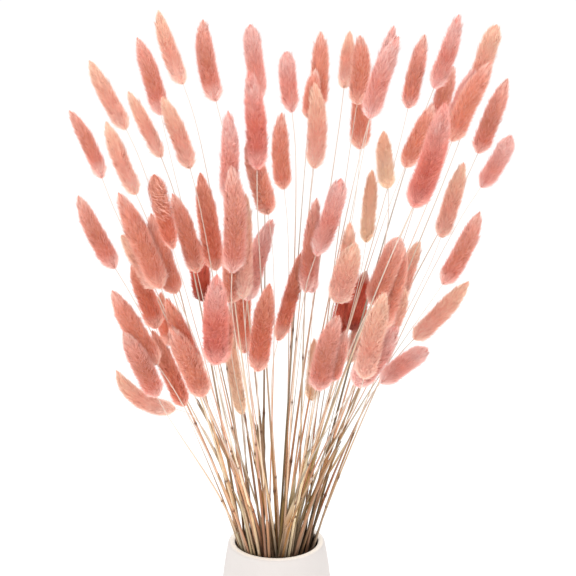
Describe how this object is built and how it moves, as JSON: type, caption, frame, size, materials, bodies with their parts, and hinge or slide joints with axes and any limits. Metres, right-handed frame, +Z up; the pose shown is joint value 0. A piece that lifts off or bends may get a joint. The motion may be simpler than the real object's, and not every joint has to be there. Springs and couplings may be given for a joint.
{
  "type": "dried bunny tail grass in a vase",
  "caption": "Spray of dyed, dried bunny tail grass: furry pointed seed heads on thin straw stems that fan out of a small matte ceramic vase.",
  "frame": {"origin": "middle of the vase's flat foot, on the surface that it stands on", "axes": "+Z up along the vase's axis, +X to the right and -Y towards the viewer in the picture's view"},
  "size_m": [0.2886, 0.2262, 0.4839],
  "materials": {
    "plume_peach": "matte",
    "plume_rose": "matte",
    "plume_pink": "matte",
    "plume_deep_red": "matte",
    "plume_salmon": "matte",
    "plume_brick": "matte",
    "plume_tan": "matte",
    "straw": "matte",
    "vase_ceramic": "matte"
  },
  "bodies": {
    "root": {"seed_head_01": "plume_peach", "seed_head_02": "plume_rose", "seed_head_03": "plume_peach", "seed_head_04": "plume_peach", "seed_head_05": "plume_rose", "seed_head_06": "plume_peach", "seed_head_07": "plume_peach", "seed_head_08": "plume_rose", "seed_head_09": "plume_pink", "seed_head_11": "plume_pink", "seed_head_16": "plume_salmon", "seed_head_17": "plume_peach", "seed_head_18": "plume_salmon", "seed_head_19": "plume_salmon", "seed_head_22": "plume_rose", "seed_head_23": "plume_pink", "seed_head_24": "plume_rose", "seed_head_25": "plume_salmon", "seed_head_26": "plume_pink", "seed_head_30": "plume_rose", "seed_head_31": "plume_pink", "seed_head_32": "plume_rose", "seed_head_35": "plume_brick", "seed_head_36": "plume_salmon", "seed_head_38": "plume_brick", "seed_head_42": "plume_pink", "seed_head_45": "plume_tan", "seed_head_46": "plume_tan", "seed_head_50": "plume_peach", "seed_head_51": "plume_peach", "seed_head_52": "plume_rose", "seed_head_54": "plume_deep_red", "seed_head_61": "plume_brick", "seed_head_62": "plume_brick", "seed_head_70": "plume_peach", "seed_head_71": "plume_pink", "seed_head_73": "plume_brick", "seed_head_76": "plume_brick", "seed_head_79": "plume_peach", "seed_head_80": "plume_brick", "seed_head_82": "plume_tan", "seed_head_83": "plume_tan", "seed_heads_10": "plume_pink", "seed_heads_13": "plume_peach", "seed_heads_21": "plume_pink", "seed_heads_29": "plume_salmon", "seed_heads_33": "plume_salmon", "seed_heads_39": "plume_rose", "seed_heads_44": "plume_pink", "seed_heads_48": "plume_peach", "seed_heads_49": "plume_salmon", "seed_heads_56": "plume_pink", "seed_heads_58": "plume_brick", "seed_heads_64": "plume_deep_red", "seed_heads_69": "plume_peach", "seed_heads_75": "plume_rose", "seed_heads_78": "plume_salmon", "seed_heads_84": "plume_rose", "stems": "straw", "vase": "vase_ceramic"}
  },
  "joints": []
}
